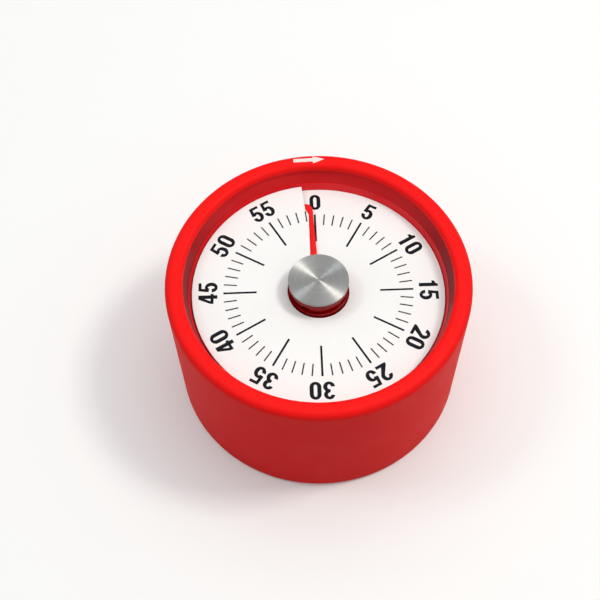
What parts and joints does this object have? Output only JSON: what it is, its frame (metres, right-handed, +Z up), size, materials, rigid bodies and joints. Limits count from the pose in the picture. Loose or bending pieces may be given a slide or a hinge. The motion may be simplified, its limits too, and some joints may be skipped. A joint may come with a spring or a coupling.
{
  "type": "visual countdown timer",
  "caption": "Round wind-up countdown timer: a knob turns a see-through disc up through a slit in its white minute dial.",
  "frame": {"origin": "centre of the base, on the surface that the timer lies on", "axes": "+Z up out of the dial along the knob's axis, +Y to the 0 mark, +X to the 15 mark"},
  "size_m": [0.08, 0.08, 0.0455],
  "materials": {
    "sleeve_rubber": "soft-touch matt red silicone",
    "bezel_red": "satin to glossy red",
    "housing_grey": "moulded, fine grain",
    "cover_red": "moulded, fine grain",
    "carrier_white": "moulded",
    "dial_white": "smooth, printed",
    "disc_red": "see-through red film",
    "knob_red": "polished see-through dark red",
    "spun_metal": "spun, fine circular lines",
    "steel": "turned",
    "spring_steel": "blued",
    "brass": "stamped, satin",
    "bell_metal": "plated",
    "acetal": "moulded"
  },
  "bodies": {
    "case": {"case_sleeve": "sleeve_rubber", "inner_housing": "housing_grey", "dial_bezel": "bezel_red", "rear_cover": "cover_red", "cover_screws": "steel", "dial_carrier": "carrier_white", "spindle_bush": "brass", "dial_plate": "dial_white", "movement_back_plate": "brass", "movement_front_plate": "brass", "plate_pillars": "steel", "pillar_screws": "steel", "movement_screws": "steel", "mainspring": "spring_steel", "spring_anchor": "steel", "bell": "bell_metal", "bell_post": "steel", "bell_screw": "steel"},
    "setting": {"knob_body": "knob_red", "knob_cap": "spun_metal", "spindle": "steel", "spring_core": "steel", "great_wheel": "brass", "clutch_spring": "spring_steel", "clutch_collar": "brass", "release_cam": "steel"},
    "film": {"timer_disc": "disc_red", "disc_hub": "disc_red"},
    "second": {"second_arbor": "steel", "second_wheel": "brass", "second_pinion": "steel"},
    "third": {"third_arbor": "steel", "third_wheel": "acetal", "third_pinion": "acetal"},
    "escape": {"escape_arbor": "steel", "escape_wheel": "acetal", "escape_pinion": "acetal"},
    "verge": {"verge_arbor": "steel", "verge_lever": "acetal"},
    "striker": {"striker_arbor": "steel", "striker_lever": "steel", "striker_arm": "steel", "striker_head": "brass"}
  },
  "joints": [
    {"name": "knob_turn", "type": "hinge", "parent": "case", "child": "setting", "pos_m": [0, 0, 0.0374], "axis": [0, 0, -1], "range_deg": [0, 354]},
    {"name": "disc_climb", "type": "slide", "parent": "setting", "child": "film", "axis": [0, 0, 1], "range_m": [0, 0.00197]},
    {"name": "second_turn", "type": "hinge", "parent": "case", "child": "second", "pos_m": [0, -0.018, 0.0206], "axis": [0, 0, -1], "continuous": true},
    {"name": "third_turn", "type": "hinge", "parent": "case", "child": "third", "pos_m": [0.01128, -0.0139, 0.0206], "axis": [0, 0, -1], "continuous": true},
    {"name": "escape_turn", "type": "hinge", "parent": "case", "child": "escape", "pos_m": [0.0169, -0.00719, 0.0206], "axis": [0, 0, -1], "continuous": true},
    {"name": "verge_swing", "type": "hinge", "parent": "case", "child": "verge", "pos_m": [0.01715, -0.0002, 0.0206], "axis": [0, 0, 1], "range_deg": [-3, 3]},
    {"name": "striker_swing", "type": "hinge", "parent": "case", "child": "striker", "pos_m": [-0.014, 0.00999, 0.018], "axis": [0, 0, -1], "range_deg": [0, 2.2]}
  ],
  "couplings": [
    {"joint": "disc_climb", "follows": "knob_turn", "m_per_rad": 0.00031831},
    {"joint": "second_turn", "follows": "knob_turn", "ratio": -5},
    {"joint": "third_turn", "follows": "knob_turn", "ratio": 20},
    {"joint": "escape_turn", "follows": "knob_turn", "ratio": -80}
  ]
}
